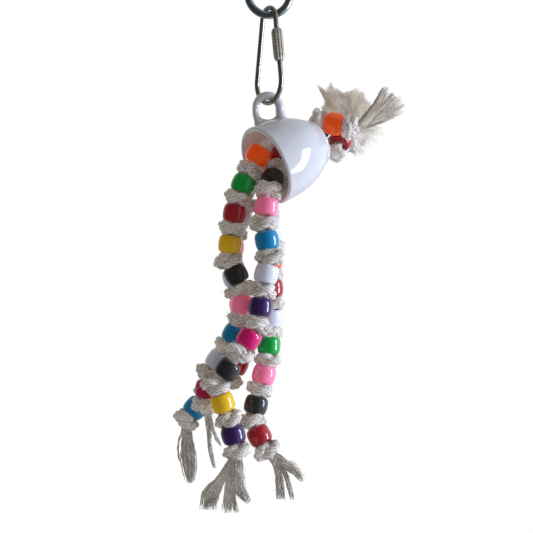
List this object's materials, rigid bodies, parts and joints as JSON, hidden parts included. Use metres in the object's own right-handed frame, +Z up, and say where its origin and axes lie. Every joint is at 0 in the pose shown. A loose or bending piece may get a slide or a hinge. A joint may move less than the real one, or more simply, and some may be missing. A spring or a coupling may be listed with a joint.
{
  "type": "hanging bird toy",
  "caption": "Hanging bird toy: a ring and a screw link carry a small cup, from which knotted cotton ropes with round beads hang down.",
  "frame": {"origin": "inner top of the hanging ring, where the toy hangs on its hook", "axes": "+Z up along the hanging line, +X to the right and +Y to the back as seen from the front"},
  "size_m": [0.0897, 0.0575, 0.2066],
  "materials": {
    "zinc_ring": "bright zinc plate",
    "steel_link": "dark nickel plate",
    "steel_sleeve": "dull nickel plate, ridged",
    "cup_plastic": "gloss",
    "cotton_rope": "undyed twisted cotton",
    "bead_orange": "gloss",
    "bead_green": "gloss",
    "bead_red": "gloss",
    "bead_yellow": "gloss",
    "bead_black": "gloss",
    "bead_pink": "gloss",
    "bead_blue": "gloss",
    "bead_white": "gloss",
    "bead_purple": "gloss",
    "bead_magenta": "gloss",
    "bead_crimson": "gloss"
  },
  "bodies": {
    "ring": {"hanging_ring": "zinc_ring"},
    "link": {"link_body": "steel_link"},
    "sleeve": {"link_sleeve": "steel_sleeve"},
    "toy": {"cup": "cup_plastic", "rope_left": "cotton_rope", "rope_front": "cotton_rope", "rope_back": "cotton_rope", "rope_right": "cotton_rope", "knots_left": "cotton_rope", "knots_front": "cotton_rope", "knots_back": "cotton_rope", "knots_right": "cotton_rope", "frayed_top_left": "cotton_rope", "frayed_top_front": "cotton_rope", "frayed_top_back": "cotton_rope", "frayed_top_right": "cotton_rope", "frayed_end_left": "cotton_rope", "frayed_end_front": "cotton_rope", "frayed_end_back": "cotton_rope", "frayed_end_right": "cotton_rope", "bead_left_0": "bead_orange", "bead_left_1": "bead_orange", "bead_left_2": "bead_green", "bead_left_3": "bead_red", "bead_left_4": "bead_yellow", "bead_left_5": "bead_black", "bead_left_6": "bead_pink", "bead_left_7": "bead_blue", "bead_left_8": "bead_white", "bead_left_9": "bead_crimson", "bead_front_0": "bead_black", "bead_front_1": "bead_red", "bead_front_2": "bead_black", "bead_front_3": "bead_pink", "bead_front_4": "bead_blue", "bead_front_5": "bead_white", "bead_front_6": "bead_purple", "bead_front_7": "bead_magenta", "bead_front_8": "bead_black", "bead_front_9": "bead_yellow", "bead_front_10": "bead_purple", "bead_back_0": "bead_green", "bead_back_1": "bead_green", "bead_back_2": "bead_pink", "bead_back_3": "bead_yellow", "bead_back_4": "bead_orange", "bead_back_5": "bead_purple", "bead_back_6": "bead_red", "bead_back_7": "bead_yellow", "bead_back_8": "bead_blue", "bead_right_0": "bead_red", "bead_right_1": "bead_blue", "bead_right_2": "bead_orange", "bead_right_3": "bead_red", "bead_right_4": "bead_white", "bead_right_5": "bead_green", "bead_right_6": "bead_pink", "bead_right_7": "bead_black", "bead_right_8": "bead_red"}
  },
  "joints": [
    {"name": "link_swing", "type": "hinge", "parent": "ring", "child": "link", "pos_m": [0, 0, -0.0145], "axis": [1, 0, 0], "range_deg": [-60, 60]},
    {"name": "sleeve_slide", "type": "slide", "parent": "link", "child": "sleeve", "axis": [-0.0884, 0.1263, 0.988], "range_m": [0, 0.0036]},
    {"name": "cup_swing", "type": "hinge", "parent": "link", "child": "toy", "pos_m": [0, 0, -0.04805], "axis": [0.5736, -0.8192, 0], "range_deg": [-30, 30]}
  ]
}
